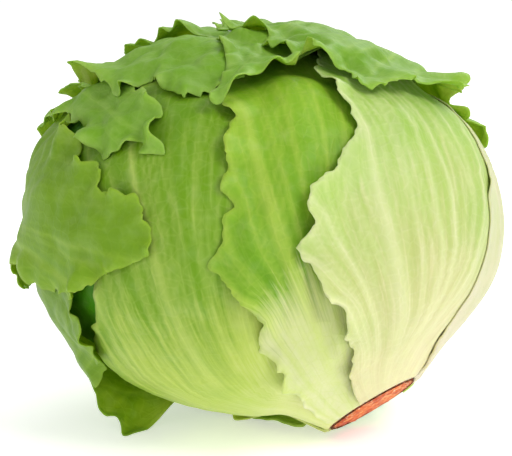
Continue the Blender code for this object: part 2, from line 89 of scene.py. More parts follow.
LEAVES = (
    leaf(
        "leaf_front_left",
        [
            (BASE, 104), (25, 106), (45, 106), (62, 100), (77, 90), (82, 62), (85, 49), (93, 47), (107, 50),
            (124, 40), (132, 10), (125, -18), (105, -28), (80, -15), (60, -2), (40, 8), (25, 14), (BASE, 26),
        ],
        ragged=0.8,
        seed=11,
    ),
    leaf(
        "leaf_front_middle",
        [
            (BASE, 58), (25, 40), (37, 27), (47, 23), (63, 16), (71, 15), (81, 10), (91, 3), (109, -7),
            (128, -12), (140, -32), (130, -58), (105, -55), (80, -45), (55, -38), (30, -34), (BASE, -36),
        ],
        ragged=1.6,
        seed=12,
    ),
    leaf(
        "leaf_front_right",
        [
            (BASE, 14), (24, 4), (36, -3), (55, -6), (66, -4), (74, -9), (78, -15), (82, -25), (92, -33),
            (108, -38), (122, -60), (118, -90), (95, -104), (70, -100), (48, -92), (28, -82), (BASE, -66),
        ],
        ragged=0.9,
        seed=13,
    ),
    leaf(
        "leaf_right",
        [
            (BASE, -74), (20, -70), (34, -66), (49, -70), (62, -73), (74, -78), (95, -80), (115, -92),
            (124, -120), (116, -148), (92, -162), (60, -166), (35, -166), (BASE, -162),
        ],
        ragged=0.5,
        seed=14,
    ),
    leaf(
        "leaf_left_low",
        [
            (BASE, 140), (28, 152), (50, 164), (80, 160), (105, 140), (122, 110), (116, 78), (103, 60),
            (93, 58), (88, 61), (82, 63), (77, 68), (75, 76), (74, 88), (64, 93), (50, 97),
            (35, 98), (22, 92),
            (BASE, 84),
        ],
        ragged=1.6,
        seed=15,
    ),
    leaf(
        "leaf_back",
        [
            (BASE, 200), (28, 212), (50, 226), (80, 232), (108, 218), (125, 190), (118, 165), (95, 152),
            (65, 152), (38, 148), (BASE, 144),
        ],
        ragged=1.4,
        seed=16,
    ),
    leaf(
        "leaf_left",
        [
            (OUTER_BASE, 140), (30, 142), (60, 158), (90, 168), (118, 152), (146, 112), (148, 70), (134, 44),
            (122, 35), (112, 31), (103, 28), (94, 24), (88, 29), (85, 39), (89, 50), (93, 58), (99, 66),
            (105, 72), (106, 92), (93, 118), (68, 124), (42, 120), (OUTER_BASE, 116),
        ],
        ragged=2.0,
        seed=17,
    ),
    leaf(
        "leaf_upper_left",
        [
            (OUTER_BASE, 160), (30, 162), (62, 180), (100, 200), (135, 206), (162, 180),
            (166, 60), (150, 28),
            (136, 20), (120, 10), (108, 12), (106, 19), (111, 25), (117, 30), (129, 35),
            (139, 52), (140, 100),
            (122, 140), (95, 150), (60, 148), (30, 140), (OUTER_BASE, 140),
        ],
        ragged=1.6,
        seed=18,
    ),
    leaf(
        "leaf_top_left",
        [
            (OUTER_BASE, 182), (30, 184), (62, 204), (100, 240), (130, 256), (138, 300),
            (126, 328), (121, 337),
            (120, 351), (115, 362), (124, 366), (137, 381), (148, 398), (154, 440), (150, 490), (132, 530),
            (100, 542), (65, 530), (35, 520), (OUTER_BASE, 520),
        ],
        ragged=2.4,
        seed=19,
    ),
    leaf(
        "leaf_top_middle",
        [
            (OUTER_BASE, -158), (30, -158), (60, -146), (92, -110), (112, -68), (119, -40),
            (114, -34), (109, -29),
            (111, -20), (109, -11), (110, -4), (121, -14), (135, -22), (150, -28), (166, -10), (171, 90),
            (152, 178), (120, 190), (80, 188), (45, 182), (OUTER_BASE, 182),
        ],
        ragged=2.6,
        seed=20,
    ),
    leaf(
        "leaf_top_right",
        [
            (OUTER_BASE, -138), (30, -138), (52, -132), (68, -122), (80, -108), (88, -92),
            (90, -74), (92, -58),
            (93, -48), (98, -41), (109, -39), (119, -37), (135, -38), (150, -44), (162, -80), (156, -128),
            (135, -150), (100, -160), (60, -162), (35, -158), (OUTER_BASE, -158),
        ],
        ragged=2.4,
        seed=21,
    ),
)


def unit(vectors):
    return vectors / np.linalg.norm(vectors, axis=-1, keepdims=True)


def stem_frame():
    """The stem's axis, out of the head, and the two directions square to it: the front, and the side."""
    tilt, heading, rise = (math.radians(angle) for angle in (STEM_TILT, STEM_HEADING, FRONT_RISE))
    axis = np.array(
        (math.sin(tilt) * math.cos(heading), math.sin(tilt) * math.sin(heading), -math.cos(tilt))
    )
    front = np.array((0.0, -math.cos(rise), math.sin(rise)))
    front = unit(front - axis * (front @ axis))
    return axis, front, np.cross(axis, front)


AXIS, FRONT, SIDE = stem_frame()


def direction(from_stem, around):
    """Unit vectors from two angles in degrees."""
    from_stem, around = np.radians(from_stem)[..., None], np.radians(around)[..., None]
    return np.cos(from_stem) * AXIS + np.sin(from_stem) * (np.cos(around) * FRONT + np.sin(around) * SIDE)


def degrees_from_stem(directions):
    return np.degrees(np.arccos(np.clip(directions @ AXIS, -1, 1)))


def floor_distance(directions):
    """How far the surface underneath lies along each direction; those that never meet it get a long way."""
    return MIDDLE[2] / np.maximum(-directions[..., 2], FAR_ROUND)


class Chart:
    """A flat map of the head round a leaf's middle: true distances from there, in degrees."""

    def __init__(self, directions):
        self.middle = unit(directions.mean(axis=0))
        self.right = unit(np.cross(self.middle, AXIS))
        self.up = np.cross(self.right, self.middle)

    def flat(self, directions):
        away = np.degrees(np.arccos(np.clip(directions @ self.middle, -1, 1)))
        plane = np.stack((directions @ self.right, directions @ self.up), axis=-1)
        return plane / np.maximum(np.linalg.norm(plane, axis=-1, keepdims=True), 1e-9) * away[..., None]

    def lifted(self, points):
        away = np.radians(np.linalg.norm(points, axis=-1, keepdims=True))
        plane = unit(np.where(away > 0, points, 1.0))
        outward = plane[..., :1] * self.right + plane[..., 1:] * self.up
        return np.cos(away) * self.middle + np.sin(away) * outward


def smooth_curve(points, count):
    """Points at even steps on a smooth curve through the given ones."""
    ends = np.vstack((2 * points[0] - points[1], points, 2 * points[-1] - points[-2]))
    curve = []
    for before, start, end, after in zip(ends[:-3], ends[1:-2], ends[2:-1], ends[3:]):
        t = np.linspace(0, 1, 24, endpoint=False)[:, None]
        curve.append(
            0.5 * (2 * start + (end - before) * t + (2 * before - 5 * start + 4 * end - after) * t**2
                   + (3 * start - before - 3 * end + after) * t**3)
        )
    return even_steps(np.vstack(curve + [points[-1:]]), np.linspace(0, 1, count))


def even_steps(curve, shares):
    """Points of a curve at the given shares of its length."""
    length = np.concatenate(([0], np.cumsum(np.linalg.norm(np.diff(curve, axis=0), axis=1))))
    return np.column_stack([np.interp(shares * length[-1], length, column) for column in curve.T])


def inside(outline, points):
    """Which points lie inside a closed flat outline."""
    found = np.zeros(len(points), bool)
    x, y = points[:, 0], points[:, 1]
    for (x1, y1), (x2, y2) in zip(outline, np.roll(outline, -1, axis=0)):
        if y1 == y2:
            continue
        crosses = (y1 > y) != (y2 > y)
        found ^= crosses & (x < (x2 - x1) * (y - y1) / (y2 - y1) + x1)
    return found


def graded_steps(curve, from_stem, finer):
    """Points of a curve, as far apart as the net's points there, or finer by a share."""
    length = np.linalg.norm(np.diff(curve, axis=0), axis=1)
    steps = length / (spacing((from_stem[1:] + from_stem[:-1]) / 2) * finer)
    along = np.concatenate(([0], np.cumsum(steps)))
    places = np.linspace(0, along[-1], max(round(along[-1]), 3) + 1)
    return np.column_stack([np.interp(places, along, column) for column in curve.T])


def triangles_within(points, rim_count):
    """Triangles between flat points, inside the closed line that the first of them make."""
    made = delaunay_2d_cdt([Vector(point) for point in points], [], [list(range(rim_count))], 1, 1e-7)
    if len(made[0]) != len(points):
        raise ValueError("the leaf's outline crosses itself")
    return np.array([[made[3][corner][0] for corner in face] for face in made[2]])


def spacing(from_stem, net=NET):
    """How far apart a net's points lie, in degrees: closer together towards the stem."""
    return net * np.minimum(1.0, NET_AT_STEM + (from_stem - BASE) / NET_GROWTH)


def ring_points(net):
    """Directions in rings round the stem, as angles from it and round it."""
    rings = []
    from_stem = BASE
    while from_stem < 179:
        gap = spacing(from_stem, net)
        from_stem += 0.87 * gap
        count = max(round(360 * math.sin(math.radians(from_stem)) / gap), 4)
        turns = 360 / count * (np.arange(count) + 0.5 * (len(rings) % 2))
        rings.append(np.column_stack((np.full(count, from_stem), turns)))
    return np.vstack(rings)


# How each leaf is finished. Sizes are in millimetres: frill is the height of its waved margin, teeth how far
# the margin's small points stand out, curl how far the edge turns up, blister the height of the bumps between
# the veins, ripple the height of long folds between them, crumple the height of the broader wrinkles towards
# the edge, vein the height of the veins. Lanes is how many veins, and middle a place on the middle one. Lifts
# are places where the leaf stands off the head, or is tucked in: from the stem, round it, width and height.
FINISH = {
    "leaf_front_left": dict(frill=0.8, teeth=0.7, curl=0.3, crumple=0.7, blister=0.5, ripple=1.0, vein=0.55,
                            lanes=27, middle=(60, 40)),
    "leaf_front_middle": dict(frill=2.2, teeth=1.9, curl=0.7, crumple=1.8, blister=0.9, ripple=1.2, vein=0.6,
                              lanes=17, middle=(69, 0), lifts=((88, 0, 7, -1.5), (100, -8, 6, -1.5))),
    "leaf_front_right": dict(frill=1.4, teeth=1.2, curl=0.7, crumple=0.9, blister=0.5, ripple=1.1, vein=0.7,
                             lanes=23, middle=(56, -28)),
    "leaf_right": dict(frill=0.6, teeth=0.6, curl=0.2, crumple=0.4, blister=0.3, ripple=0.6, vein=0.5,
                       lanes=21, middle=(60, -115),
                       lifts=((34, -68, 12, -2.2), (50, -71, 12, -2.5), (66, -76, 12, -2.5),
                              (82, -80, 12, -2.5), (98, -83, 12, -2.5), (112, -90, 12, -2.5))),
    "leaf_left_low": dict(frill=3.0, teeth=2.4, curl=0.8, crumple=2.0, blister=1.2, ripple=0.6, vein=0.6,
                          lanes=15, middle=(60, 120),
                          lifts=((80, 88, 9, 3.5), (69, 92, 9, 4.5), (46, 98, 9, -5), (31, 97, 9, -6),
                                 (20, 92, 9, -6))),
    "leaf_back": dict(frill=2.2, teeth=1.6, curl=0.8, crumple=2.0, blister=1.2, ripple=0.6, vein=0.6,
                      lanes=15, middle=(60, 190)),
    "leaf_left": dict(frill=2.6, teeth=2.2, curl=0.8, crumple=2.4, blister=1.7, ripple=0.4, vein=0.5,
                      lanes=19, middle=(110, 110)),
    "leaf_upper_left": dict(frill=3.0, teeth=1.9, curl=0.9, crumple=3.0, blister=2.2, ripple=0.3, vein=0.5,
                            lanes=19, middle=(140, 150)),
    "leaf_top_left": dict(frill=4.2, teeth=2.2, curl=1.2, crumple=3.4, blister=2.4, ripple=0.3, vein=0.6,
                          lanes=19, middle=(120, 500)),
    "leaf_top_middle": dict(frill=4.4, teeth=2.3, curl=1.2, crumple=3.4, blister=2.4, ripple=0.3, vein=0.6,
                            lanes=19, middle=(150, 190)),
    "leaf_top_right": dict(frill=4.2, teeth=2.2, curl=1.2, crumple=3.4, blister=2.4, ripple=0.3, vein=0.6,
                           lanes=19, middle=(120, -100)),
}

# A leaf is thin at its edge and thick at its base, and keeps a gap to the leaves under it.
THIN = 0.45 * MM
THICK = 1.3 * MM
LEAST_GAP = 0.2 * MM
EDGE_WIDTH = 7.0
SMOOTHINGS = 22

# Sizes in millimetres of the margin's waves and teeth, how many bumps and wrinkles there are to a metre, and
# how far in from the edge, in degrees, the wrinkles are deep.
WAVELENGTHS = (27.0, 13.0, 7.0)
TEETH = (16.0, 9.0, 5.0, 3.0)
BIG_BLISTERS = 90
SMALL_BLISTERS = 210
BROAD_WRINKLES = 42
SHARP_WRINKLES = 75
WRINKLED_EDGE = 22.0

# Where the leaves end at the cut stem, in degrees from its axis: they draw in to the cut face and stay behind
# it, and each leaf further out ends a little nearer to it.
DRAWN_IN = 14.0
BEHIND_FACE = 34.0
BELOW_FACE = 40.0
FACE_GAP = 0.4 * MM
BASE_GAP = 0.9 * MM
BASE_STEP = 0.06 * MM
BASE_FADE = 22.0
GROWN_AFTER = 50.0

# The margin is tried with smaller teeth and lobes, as shares of their sizes, until it doesn't cross itself.
MARGIN_TRIES = ((1, 1), (0.7, 1), (0.5, 1), (0.5, 0.8), (0.3, 0.8), (0.3, 0.6), (0.2, 0.4), (0, 0))


def margin_lines(curve, leaf_data, teeth, lobed=1.0):
    """The margin pushed in and out in lobes as on the part, with small teeth besides."""
    draw = np.random.default_rng(leaf_data["seed"])
    share = np.linspace(0, 1, len(curve))
    wave = np.zeros(len(curve))
    for lobes in LOBES:
        turn = 2 * math.pi * (lobes * share + draw.random())
        wave += np.sin(turn) / math.sqrt(lobes) * draw.uniform(0.7, 1.3)
    along = np.gradient(curve, axis=0)
    outward = unit(np.column_stack((along[:, 1], -along[:, 0])))
    if np.sum(outward * (curve - curve.mean(axis=0))) < 0:
        outward = -outward
    length = np.linalg.norm(np.diff(curve, axis=0), axis=1).sum()
    few = slice(None, None, 8)
    apart = np.linalg.norm(curve[few, None] - curve[None, few], axis=-1)
    neighbours = np.abs(share[few, None] - share[None, few]) * length < 3 * NECK
    width = np.interp(share, share[few], np.where(neighbours, np.inf, apart).min(axis=1))
    calm = np.clip(np.minimum(share, 1 - share) / SIDE_SHARE, 0, 1) * np.clip((width - NECK) / NECK, 0, 1)
    fine = np.zeros(len(curve))
    for size in TEETH:
        steps = share * length * MM_PER_DEGREE / size
        start = draw.uniform(0, 50)
        rough = np.array([noise.noise(Vector((step + start, 0.5, size))) for step in steps])
        fine += (0.25 - np.abs(rough)) * 3.0 * (size / TEETH[0]) ** 0.8
    pushed = wave * 3 * leaf_data["ragged"] * lobed + fine * teeth
    return curve + outward * (pushed * calm / MM_PER_DEGREE)[:, None]


def flat_tree(points):
    """Finds the nearest of some flat points."""
    tree = KDTree(len(points))
    for number, (x, y) in enumerate(points):
        tree.insert((x, y, 0), number)
    tree.balance()
    return tree


def mesh_tree(points, faces):
    return BVHTree.FromPolygons([tuple(point) for point in points], [tuple(face) for face in faces])


def reach(tree, directions):
    """How far out a mesh reaches along each direction, or nothing (nan) where it is absent."""
    far = np.full(len(directions), np.nan)
    for number, place in enumerate(directions):
        distance = tree.ray_cast(Vector(MIDDLE + OUTSIDE * place), Vector(-place))[3]
        if distance is not None and distance < OUTSIDE:
            far[number] = OUTSIDE - distance
    return far


def rim_points(chart, curve, given, net):
    """A leaf's edge as points about as far apart as its net's: first its margin, then its base."""
    turns = given[0, 1] + ((given[-1, 1] - given[0, 1] + 180) % 360 - 180) * np.linspace(1, 0, 201)
    base = chart.flat(direction(np.full(len(turns), given[0, 0]), turns))
    margin = graded_steps(curve, degrees_from_stem(chart.lifted(curve)), EDGE_FINER * net / NET)
    bottom = graded_steps(base, np.full(len(base), given[0, 0]), net / NET)[1:-1]
    return margin, bottom


def crosses_itself(loop):
    """Whether a closed flat line crosses itself: extra points are then needed where it does."""
    made = delaunay_2d_cdt([Vector(point) for point in loop], [], [list(range(len(loop)))], 1, 1e-7)
    return len(made[0]) != len(loop)


class Net:
    """Triangles inside a leaf's outline, its edge first, in the flat chart of the leaf."""

    def __init__(self, chart, curve, given, net):
        margin, bottom = rim_points(chart, curve, given, net)
        self.base_middle = bottom[len(bottom) // 2]
        loop = np.vstack((margin, bottom))
        rings = ring_points(net)
        inner = chart.flat(direction(rings[:, 0], rings[:, 1]))
        inner_gap = spacing(rings[:, 0], net)
        kept = np.abs(inner - loop.mean(axis=0)).max(axis=1) < np.ptp(loop, axis=0).max()
        inner, inner_gap = inner[kept], inner_gap[kept]
        rim = flat_tree(loop)
        kept = inside(loop, inner)
        clear = np.array([rim.find((x, y, 0))[2] for x, y in inner])
        kept &= clear > CLEAR_SHARE * inner_gap
        self.flat = np.vstack((loop, inner[kept]))
        self.loop = np.arange(len(loop))
        self.triangles = triangles_within(self.flat, len(loop))
        x, y = loop.T
        if np.sum(x * np.roll(y, -1) - y * np.roll(x, -1)) < 0:
            self.loop = self.loop[::-1]
        pairs = np.vstack([self.triangles[:, (a, b)] for a, b in ((0, 1), (1, 2), (2, 0))])
        pairs = np.unique(np.sort(pairs, axis=1), axis=0)
        self.ends = np.concatenate((pairs[:, 0], pairs[:, 1]))
        self.others = np.concatenate((pairs[:, 1], pairs[:, 0]))
        self.count = len(self.flat)
        self.neighbours = np.bincount(self.ends, minlength=self.count)
        # Across the leaf, from 0 along one side of its outline to 1 at the other.
        back = np.linspace(1, 0, len(bottom) + 2)[1:-1]
        self.rim_across = np.concatenate((np.linspace(0, 1, len(margin)), back))

    def averaged(self, values):
        """Each point's value as the mean of its neighbours' values."""
        return np.bincount(self.ends, values[self.others], self.count) / self.neighbours

    def softened(self, values, rounds):
        for _ in range(rounds):
            values = 0.5 * values + 0.5 * self.averaged(values)
        return values

    def filled(self, values):
        """Missing values taken from neighbours that have one."""
        values = values.copy()
        while np.isnan(values).any():
            known = ~np.isnan(values)
            sums = np.bincount(self.ends, np.where(known, values, 0)[self.others], self.count)
            counts = np.bincount(self.ends, known[self.others].astype(float), self.count)
            better = ~known & (counts > 0)
            if not better.any():
                values[~known] = np.nanmean(values)
                break
            values[better] = sums[better] / counts[better]
        return values

    def slope(self, values):
        """How fast a value changes, for each degree."""
        a, b, c = (self.flat[self.triangles[:, k]] for k in range(3))
        p, q, r = (values[self.triangles[:, k]] for k in range(3))
        u, v = b - a, c - a
        area = u[:, 0] * v[:, 1] - u[:, 1] * v[:, 0]
        area = np.where(np.abs(area) < 1e-9, 1e-9, area)
        dx = ((q - p) * v[:, 1] - (r - p) * u[:, 1]) / area
        dy = ((r - p) * u[:, 0] - (q - p) * v[:, 0]) / area
        steep = np.hypot(dx, dy)
        total, weight = np.zeros(self.count), np.zeros(self.count)
        for k in range(3):
            total += np.bincount(self.triangles[:, k], steep * np.abs(area), self.count)
            weight += np.bincount(self.triangles[:, k], np.abs(area), self.count)
        return self.softened(total / weight, 2)


def across_leaf(guide, net):
    """How far across the leaf each point of a net lies, evenly: found on a coarse guide net and refined."""
    rim = len(guide.rim_across)
    inner = guide.count - rim
    matrix = np.zeros((guide.count, guide.count))
    matrix[guide.ends, guide.others] = 1.0
    known = matrix[rim:, :rim] @ guide.rim_across
    lefthand = np.diag(guide.neighbours[rim:].astype(float)) - matrix[rim:, rim:]
    values = np.concatenate((guide.rim_across, np.linalg.solve(lefthand, known) if inner else []))
    tree = flat_tree(guide.flat)
    found = [tree.find_n((x, y, 0), 5) for x, y in net.flat]
    number = np.array([[near[1] for near in five] for five in found])
    weight = 1 / (np.array([[near[2] for near in five] for five in found]) + 0.05) ** 2
    across = (values[number] * weight).sum(axis=1) / weight.sum(axis=1)
    rim = len(net.rim_across)
    for _ in range(400):
        across[:rim] = net.rim_across
        across = net.averaged(across)
    across[:rim] = net.rim_across
    return across


class Sheet:
    """A leaf's fine sheet: directions, how far both sides lie from the middle, and what its colour needs."""

    def __init__(self, leaf_data):
        self.name = leaf_data["name"]
        self.finish = FINISH[self.name]
        self.draw = np.random.default_rng(leaf_data["seed"] + 500)
        given = np.array(leaf_data["outline"], float)
        corners = direction(given[:, 0], given[:, 1])
        self.chart = Chart(corners)
        plain = smooth_curve(self.chart.flat(corners), FINE)
        for share, lobed in MARGIN_TRIES:
            curve = margin_lines(plain, leaf_data, self.finish["teeth"] * share, lobed)
            if not crosses_itself(np.vstack(rim_points(self.chart, curve, given, NET))):
                break
        self.net = Net(self.chart, curve, given, NET)
        guide = Net(self.chart, margin_lines(plain, leaf_data, 0.0, 0.5 * lobed), given, GUIDE_NET)
        self.across = across_leaf(guide, self.net)
        self.directions = self.chart.lifted(self.net.flat)
        self.from_stem = degrees_from_stem(self.directions)
        rim = flat_tree(curve)
        found = [rim.find((x, y, 0)) for x, y in self.net.flat]
        self.from_edge = np.array([near[2] for near in found])
        self.edge_place = np.array([near[1] for near in found]) / FINE
        self.edge_length = np.linalg.norm(np.diff(curve, axis=0), axis=1).sum() * MM_PER_DEGREE
        away = np.linalg.norm(self.net.flat - self.net.base_middle, axis=1)
        self.along = away / away.max()
        self.edge = np.clip(1 - self.from_edge / EDGE_WIDTH, 0, 1) * np.clip(self.along * 5 - 0.3, 0, 1)

    def veins(self):
        """The height of the veins and how pale they are."""
        lanes, draw, along = self.finish["lanes"], self.draw, self.along
        place = direction(*(np.array(float(angle)) for angle in self.finish["middle"]))
        middle = self.across[np.argmax(self.directions @ place)]
        steep = np.maximum(self.net.slope(self.across), 1e-4)
        height, pale = np.zeros(len(along)), np.zeros(len(along))

        def add(centre, width, rise, shown=1.0):
            ratio = np.abs(self.across - centre) / steep * MM_PER_DEGREE / width
            np.maximum(height, rise * shown * np.exp(-(ratio**2)), out=height)
            np.maximum(pale, np.minimum(1, rise * 1.4) * shown * np.exp(-((ratio * 0.7) ** 2)), out=pale)

        # The midrib, then the veins beside it, each with three branches that leave it on either side.
        add(middle + 0.0 * along, 2.8 * (1 - along) ** 1.2 + 0.5, 1.4 * (1 - 0.75 * along))
        places = (np.arange(lanes) + 0.5) / lanes + draw.uniform(-0.22, 0.22, lanes) / lanes
        for centre in places:
            wander = 0.10 / lanes * np.sin(draw.uniform(8, 13) * along + draw.uniform(0, 6))
            wide, rise = 0.9 * (1 - along) + 0.35, draw.uniform(0.3, 1.0) * (1 - 0.6 * along)
            shown = np.clip((draw.uniform(0.85, 1.1) - along) / 0.15, 0, 1)
            add(centre + wander, wide, rise, shown)
            for _ in range(3):
                start, side = draw.uniform(0.15, 0.7), draw.choice((-1, 1))
                grown = np.clip((along - start) / draw.uniform(0.2, 0.4), 0, 1)
                turned = centre + wander + side * draw.uniform(0.4, 1.1) / lanes * grown**0.8
                shown = np.clip((along - start) / 0.04, 0, 1) * np.clip((0.97 - along) / 0.2, 0, 1)
                add(turned, 0.5 * (1 - along) + 0.28, 0.45 * (1 - 0.5 * along), shown)
        return height, pale

    def noise_on_head(self, scale, shift):
        """Smooth noise over the head at the leaf's points."""
        return np.array([noise.noise(Vector(place * scale) + shift) for place in self.directions * HALF_SIZE])

    def blisters(self):
        """Bumps between the veins, as unit heights."""
        shift = Vector((self.draw.uniform(0, 9), 3.0, 5.0))
        return self.noise_on_head(BIG_BLISTERS, shift) + 0.4 * self.noise_on_head(SMALL_BLISTERS, shift)

    def ripples(self):
        """Long folds that run with the veins, as unit heights."""
        start = self.draw.uniform(0, 50)
        pairs = zip(self.across * 1.3 * self.finish["lanes"], self.along * 3.2)
        return np.array([noise.noise(Vector((across + start, along, 0.3))) for across, along in pairs])

    def crumples(self):
        """Broad wrinkles with sharp valleys, deeper towards the edge, as unit heights."""
        shift = Vector((self.draw.uniform(0, 9), 7.0, 1.0))
        broad = self.noise_on_head(BROAD_WRINKLES, shift)
        folds = self.noise_on_head(SHARP_WRINKLES, -shift)
        near_edge = np.clip(1 - self.from_edge / WRINKLED_EDGE, 0, 1)
        return (broad - 1.6 * np.exp(-((folds / 0.10) ** 2)) * 0.5) * (0.25 + 0.75 * near_edge)

    def frills(self):
        """Waves of the margin, as unit heights."""
        wave = np.zeros(len(self.edge_place))
        for size in WAVELENGTHS:
            start = self.draw.uniform(0, 50)
            steps = self.edge_place * self.edge_length / size * 2
            waves = np.array([noise.noise(Vector((step + start, 0.5, size))) for step in steps])
            narrow = np.clip(1 - self.from_edge * MM_PER_DEGREE / (size * 0.8), 0, 1)
            wave += 2.4 * waves * narrow * (size / WAVELENGTHS[0]) ** 0.6
        return wave

    def lifts(self):
        """Places where the leaf stands off the head, or is tucked in, in millimetres."""
        height = np.zeros(len(self.along))
        for from_stem, around, width, rise in self.finish.get("lifts", ()):
            place = direction(np.array(float(from_stem)), np.array(float(around)))
            apart = np.degrees(np.arccos(np.clip(self.directions @ place, -1, 1)))
            height += rise * np.exp(-((apart / width) ** 2))
        return height

    def relief(self, free):
        """How far the surface stands off the part's own, in metres: less where other leaves cover it."""
        finish = self.finish
        height, self.pale = self.veins()
        grown = np.clip((self.from_stem - BASE) / GROWN_AFTER, 0, 1)
        relief = finish["vein"] * height + finish["blister"] * self.blisters() * (0.15 + 0.85 * grown)
        relief = relief + (finish["crumple"] * self.crumples() + finish["ripple"] * self.ripples()) * grown
        relief = relief + finish["frill"] * self.frills() * self.edge**0.5 + finish["curl"] * self.edge**2
        return (relief * (0.15 + 0.85 * free) + self.lifts()) * MM

    def lay(self, cad, later, piles):
        """Sets how far both sides of the leaf lie from the middle: on the part's leaf, over those beneath."""
        net = self.net
        far = net.filled(reach(cad, self.directions))
        covered = np.zeros(len(far))
        for tree in later:
            covered = np.maximum(covered, np.nan_to_num(reach(tree, self.directions)) > far)
        free = 1 - net.softened(covered.astype(float), 8)
        far = net.softened(far, SMOOTHINGS)
        relief = self.relief(free)
        to_cut = (STEM_REACH - FACE_GAP) / np.maximum(self.directions @ AXIS, FAR_ROUND)
        if self.from_stem.min() < BASE + 2:
            near = np.clip(1 - (self.from_stem - BASE) / DRAWN_IN, 0, 1) ** 2
            far = far + (to_cut - far) * near
        over = np.minimum(far + relief, np.where(self.from_stem < BELOW_FACE, to_cut, 1.0))
        base = np.exp(-(self.from_stem - BASE) / BASE_FADE)
        self.thickness = THIN + (THICK - THIN) * base * (1 - self.edge)
        needed = np.zeros(len(far))
        for tree in piles:
            needed = np.fmax(needed, reach(tree, self.directions))
        needed = np.where(needed > 0, needed + LEAST_GAP + self.thickness, 0.0)
        for _ in range(3):
            over = np.maximum(net.softened(np.maximum(over, needed), 1), needed)
        behind = to_cut - (BASE_GAP - BASE_STEP * len(piles))
        over = np.minimum(over, np.where(self.from_stem < BEHIND_FACE, behind, 1.0))
        self.over = np.minimum(over, floor_distance(self.directions))
        self.under = self.over - self.thickness

    def points(self, far):
        """Places of one side of the leaf, kept clear of the cut stem."""
        placed = MIDDLE + self.directions * far[:, None]
        height = (placed - MIDDLE) @ AXIS
        sideways = placed - MIDDLE - height[:, None] * AXIS
        distance = np.linalg.norm(sideways, axis=1)
        wanted = np.where(height > 0, np.maximum(distance, STEM_RADIUS + STEM_GAP), distance)
        return placed + sideways * ((wanted - distance) / distance)[:, None]

    def object(self):
        """The closed leaf as an object, with its colour values on its points, and its outer side's tree."""
        over, under = self.points(self.over), self.points(self.under)
        count, triangles, loop = self.net.count, self.net.triangles, self.net.loop
        after = np.roll(loop, -1)
        walls = [np.stack((loop, after, after + count), axis=1)]
        walls.append(np.stack((loop, after + count, loop + count), axis=1))
        faces = np.concatenate([triangles[:, ::-1], triangles + count] + walls)
        points = np.concatenate((under, over))
        corners = over[triangles] - MIDDLE
        if np.einsum("ij,ij->i", corners[:, 0], np.cross(corners[:, 1], corners[:, 2])).sum() < 0:
            faces = faces[:, ::-1]
        made = new_object(self.name + "_blade", points.tolist(), faces.tolist())
        stem_share = np.clip(1 - (self.from_stem - BASE) / 130, 0, 1)
        shown = {"pale": self.pale, "edge": self.edge, "stem_share": stem_share, "across": self.across,
                 "along": self.along}
        for name, values in shown.items():
            both = np.concatenate((values, values)).astype(np.float32)
            made.data.attributes.new(name, "FLOAT", "POINT").data.foreach_set("value", both)
        return made, mesh_tree(over, triangles)


def in_scene(name, data):
    """A new object of the scene, unturned and unscaled."""
    made = bpy.data.objects.new(name, data)
    bpy.context.scene.collection.objects.link(made)
    return made


def new_object(name, points, faces):
    """A smooth-shaded mesh as an object."""
    mesh = bpy.data.meshes.new(name)
    mesh.from_pydata(points, [], faces)
    mesh.polygons.foreach_set("use_smooth", [True] * len(mesh.polygons))
    return in_scene(name, mesh)


# Colours are given as they look, from 0 to 255, and changed to the light they stand for.
def colour(red, green, blue):
    def light(value):
        value /= 255
        return value / 12.92 if value <= 0.04045 else ((value + 0.055) / 1.055) ** 2.4

    return (light(red), light(green), light(blue), 1.0)


class Socket:
    """A shader value that can be used in sums."""

    def __init__(self, paint, link):
        self.paint, self.link = paint, link

    def maths(self, operation, one, other):
        return self.paint.node("ShaderNodeMath", {0: one, 1: other}, {"operation": operation})

    def __add__(self, other):
        return self.maths("ADD", self, other)

    def __sub__(self, other):
        return self.maths("SUBTRACT", self, other)

    def __rsub__(self, other):
        return self.maths("SUBTRACT", other, self)

    def __mul__(self, other):
        return self.maths("MULTIPLY", self, other)

    def __truediv__(self, other):
        return self.maths("DIVIDE", self, other)

    def __rtruediv__(self, other):
        return self.maths("DIVIDE", other, self)

    def __pow__(self, other):
        return self.maths("POWER", self, other)

    __radd__ = __add__
    __rmul__ = __mul__

    def clamped(self):
        return self.maths("MAXIMUM", self.maths("MINIMUM", self, 1.0), 0.0)

    def ramp(self, low, high):
        """Nothing below low, one above high, straight between."""
        return ((self - low) / (high - low)).clamped()


class Paint:
    """A material's nodes, added one by one."""

    def __init__(self, name):
        self.material = bpy.data.materials.new(name)
        self.material.use_nodes = True
        self.nodes = self.material.node_tree.nodes
        self.links = self.material.node_tree.links

    def put(self, place, value):
        if isinstance(value, Socket):
            self.links.new(value.link, place)
        else:
            place.default_value = value

    def node(self, kind, values, settings=None, output=0):
        """A new node, its settings first, then the values or links of its sockets, by name or number."""
        made = self.nodes.new(kind)
        for name, value in (settings or {}).items():
            setattr(made, name, value)
        for name, value in values.items():
            self.put(made.inputs[name], value)
        return Socket(self, made.outputs[output])

    def place(self):
        return self.node("ShaderNodeTexCoord", {}, output="Object")

    def value(self, name):
        """A value that is kept on the mesh's points."""
        return self.node("ShaderNodeAttribute", {}, {"attribute_name": name}, "Fac")

    def noise(self, vector, scale, detail, roughness=0.5):
        values = {"Vector": vector, "Scale": scale, "Detail": detail, "Roughness": roughness}
        return self.node("ShaderNodeTexNoise", values)

    def bump(self, height, distance, strength):
        return self.node("ShaderNodeBump", {"Height": height, "Distance": distance, "Strength": strength})

    def mixed(self, share, one, other):
        return self.node("ShaderNodeMix", {0: share, 6: one, 7: other}, {"data_type": "RGBA"}, 2)

    def finished(self, **values):
        for name, value in values.items():
            self.put(self.nodes["Principled BSDF"].inputs[name.replace("_", " ")], value)
        return self.material


